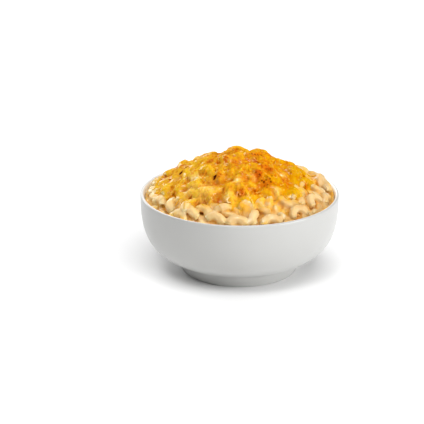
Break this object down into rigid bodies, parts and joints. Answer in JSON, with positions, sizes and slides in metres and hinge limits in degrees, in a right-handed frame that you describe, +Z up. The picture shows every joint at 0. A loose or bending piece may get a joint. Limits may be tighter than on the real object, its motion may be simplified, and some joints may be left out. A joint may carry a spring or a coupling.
{
  "type": "bowl of macaroni and cheese",
  "caption": "Heap of creamy elbow macaroni with a browned melted cheese top, served in a round white footed bowl.",
  "frame": {"origin": "middle of the flat foot of the bowl, on the surface that it stands on", "axes": "+Z up along the bowl's axis; -Y towards the front of the serving; +X to its right"},
  "size_m": [0.18, 0.18, 0.1137],
  "materials": {
    "porcelain": "smooth satin white glaze",
    "pasta": "moist cooked pasta in a pale cream sauce, soft gloss",
    "cheese": "melted orange cheese, glossy, with browned spots"
  },
  "bodies": {
    "root": {"bowl": "porcelain", "macaroni": "pasta", "melted_cheese": "cheese"}
  },
  "joints": []
}
